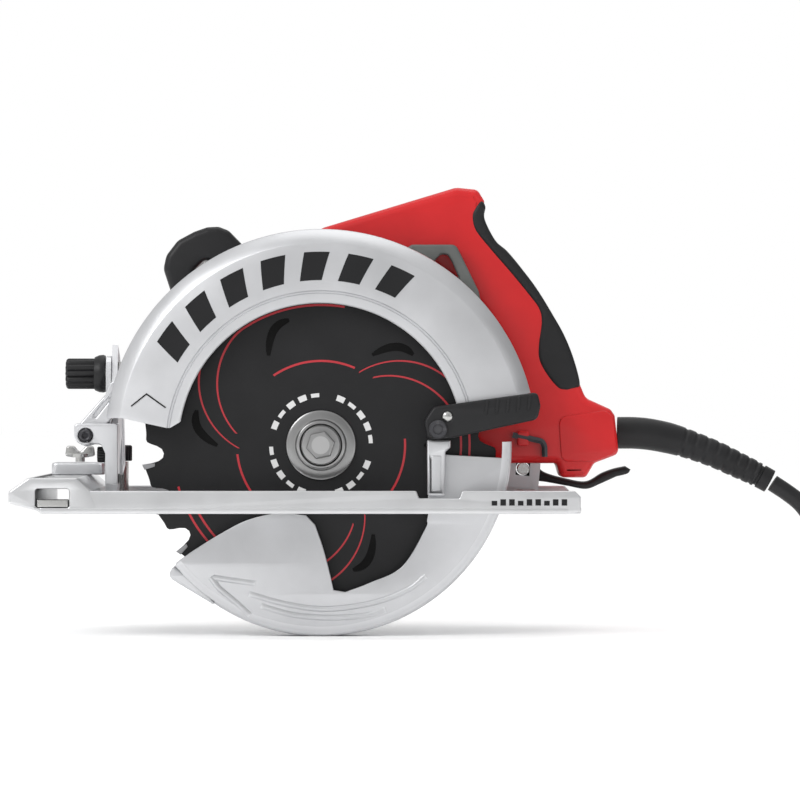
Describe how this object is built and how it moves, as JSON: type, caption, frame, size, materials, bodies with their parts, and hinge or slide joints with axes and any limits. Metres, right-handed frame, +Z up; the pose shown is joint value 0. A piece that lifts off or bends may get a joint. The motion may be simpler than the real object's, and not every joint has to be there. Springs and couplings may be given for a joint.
{
  "type": "circular saw",
  "caption": "Corded left-blade circular saw with guarded blade, pivoting lower guard, tilting foot, motor, rear and front handles, and a coiled cord.",
  "frame": {"origin": "on the floor under the middle of the saw's own box, the cord left out", "axes": "+X to the rear of the saw, +Y from the blade to the motor, +Z up"},
  "size_m": [0.5626, 0.17, 0.2306],
  "materials": {
    "magnesium_foot": "satin die cast",
    "cast_aluminium": "satin die cast",
    "bright_steel": "zinc plated",
    "dark_steel": "blackened",
    "blade_coating": "smooth non-stick coating",
    "black_plastic": "fine moulded texture",
    "black_rubber": "soft moulded grip",
    "cord_rubber": "smooth jacket",
    "red_plastic": "semi-gloss moulded",
    "copper": "bare copper",
    "carbon": "pressed carbon"
  },
  "bodies": {
    "foot": {"foot_plate": "magnesium_foot", "bevel_upright": "cast_aluminium", "front_hinge_pin": "bright_steel", "rear_hinge_pin": "bright_steel", "fence_clamp_bracket": "cast_aluminium", "fence_lock_post": "bright_steel", "bevel_bolt": "bright_steel"},
    "fence_screw": {"fence_thumb_screw": "bright_steel"},
    "fence_nut": {"fence_lock_nut": "black_plastic"},
    "bevel_knob": {"bevel_knob": "black_plastic"},
    "tilt_bracket": {"tilt_bracket": "cast_aluminium", "bevel_quadrant": "cast_aluminium", "depth_pivot_pin": "bright_steel"},
    "depth_bracket": {"depth_bracket": "cast_aluminium"},
    "saw_head": {"upper_guard": "cast_aluminium", "handle_bracket": "cast_aluminium", "gear_housing": "cast_aluminium", "motor_housing": "red_plastic", "motor_end_cap": "black_plastic", "field_stator": "dark_steel", "arbor_bearing": "bright_steel", "armature_front_bearing": "bright_steel", "armature_rear_bearing": "bright_steel", "carbon_brush_upper": "carbon", "carbon_brush_lower": "carbon", "brush_holder_upper": "black_plastic", "brush_holder_lower": "black_plastic", "switch_body": "black_plastic", "handle_shell_left": "red_plastic", "handle_shell_right": "red_plastic", "grip_overmold": "black_rubber", "aux_handle": "black_plastic", "hex_key": "dark_steel", "depth_lock_bolt": "bright_steel", "strain_relief_boot": "black_rubber", "cord": "cord_rubber", "cord_coil": "cord_rubber", "plug": "black_rubber", "guard_spring": "dark_steel"},
    "depth_lever": {"depth_lock_lever": "black_plastic"},
    "lower_guard": {"lower_guard": "cast_aluminium", "lift_lever": "black_plastic", "lift_lever_bolt": "bright_steel", "lift_lever_rivet": "bright_steel"},
    "blade": {"saw_blade": "blade_coating", "arbor_shaft": "bright_steel", "drive_gear": "dark_steel", "inner_flange": "dark_steel", "outer_flange": "dark_steel", "blade_bolt": "bright_steel"},
    "armature": {"armature_shaft": "bright_steel", "armature_core": "copper", "commutator": "copper", "cooling_fan": "black_plastic"},
    "trigger": {"trigger": "black_plastic"},
    "spindle_lock": {"spindle_lock_button": "black_plastic"}
  },
  "joints": [
    {"name": "bevel_tilt", "type": "hinge", "parent": "foot", "child": "tilt_bracket", "pos_m": [-0.1029, -0.047, 0.0677], "axis": [1, 0, 0], "range_deg": [0, 50]},
    {"name": "depth_bracket_tilt", "type": "hinge", "parent": "foot", "child": "depth_bracket", "pos_m": [0.1021, -0.047, 0.0677], "axis": [1, 0, 0], "range_deg": [0, 50]},
    {"name": "depth_swing", "type": "hinge", "parent": "tilt_bracket", "child": "saw_head", "pos_m": [-0.1229, -0.047, 0.1024], "axis": [0, -1, 0], "range_deg": [0, 26]},
    {"name": "lower_guard_swing", "type": "hinge", "parent": "saw_head", "child": "lower_guard", "pos_m": [-0.0029, -0.047, 0.0975], "axis": [0, -1, 0], "range_deg": [0, 130], "stiffness_Nm_per_rad": 0.08, "springref_deg": -57.3},
    {"name": "blade_spin", "type": "hinge", "parent": "saw_head", "child": "blade", "pos_m": [-0.0029, -0.047, 0.0975], "axis": [0, 1, 0], "continuous": true},
    {"name": "armature_spin", "type": "hinge", "parent": "saw_head", "child": "armature", "pos_m": [0.0114, -0.047, 0.12227], "axis": [0, 1, 0], "continuous": true},
    {"name": "trigger_pull", "type": "slide", "parent": "saw_head", "child": "trigger", "axis": [1, 0, 0], "range_m": [0, 0.004], "stiffness_N_per_m": 800, "springref_m": -0.002},
    {"name": "spindle_lock_press", "type": "slide", "parent": "saw_head", "child": "spindle_lock", "axis": [0, -1, 0], "range_m": [0, 0.003], "stiffness_N_per_m": 800, "springref_m": -0.002},
    {"name": "depth_lever_turn", "type": "hinge", "parent": "saw_head", "child": "depth_lever", "pos_m": [0.10237, 0.028, 0.08428], "axis": [0, -1, 0], "range_deg": [0, 45]},
    {"name": "bevel_knob_turn", "type": "hinge", "parent": "foot", "child": "bevel_knob", "pos_m": [-0.1229, -0.021, 0.1341], "axis": [1, 0, 0], "continuous": true},
    {"name": "fence_screw_turn", "type": "hinge", "parent": "foot", "child": "fence_screw", "pos_m": [-0.1304, 0.011, 0.0902], "axis": [0, 0, 1], "continuous": true},
    {"name": "fence_nut_turn", "type": "hinge", "parent": "foot", "child": "fence_nut", "pos_m": [-0.1104, 0.041, 0.0882], "axis": [0, 0, 1], "continuous": true}
  ],
  "couplings": [
    {"joint": "armature_spin", "follows": "blade_spin", "ratio": -4.2},
    {"joint": "depth_bracket_tilt", "follows": "bevel_tilt", "ratio": 1}
  ]
}
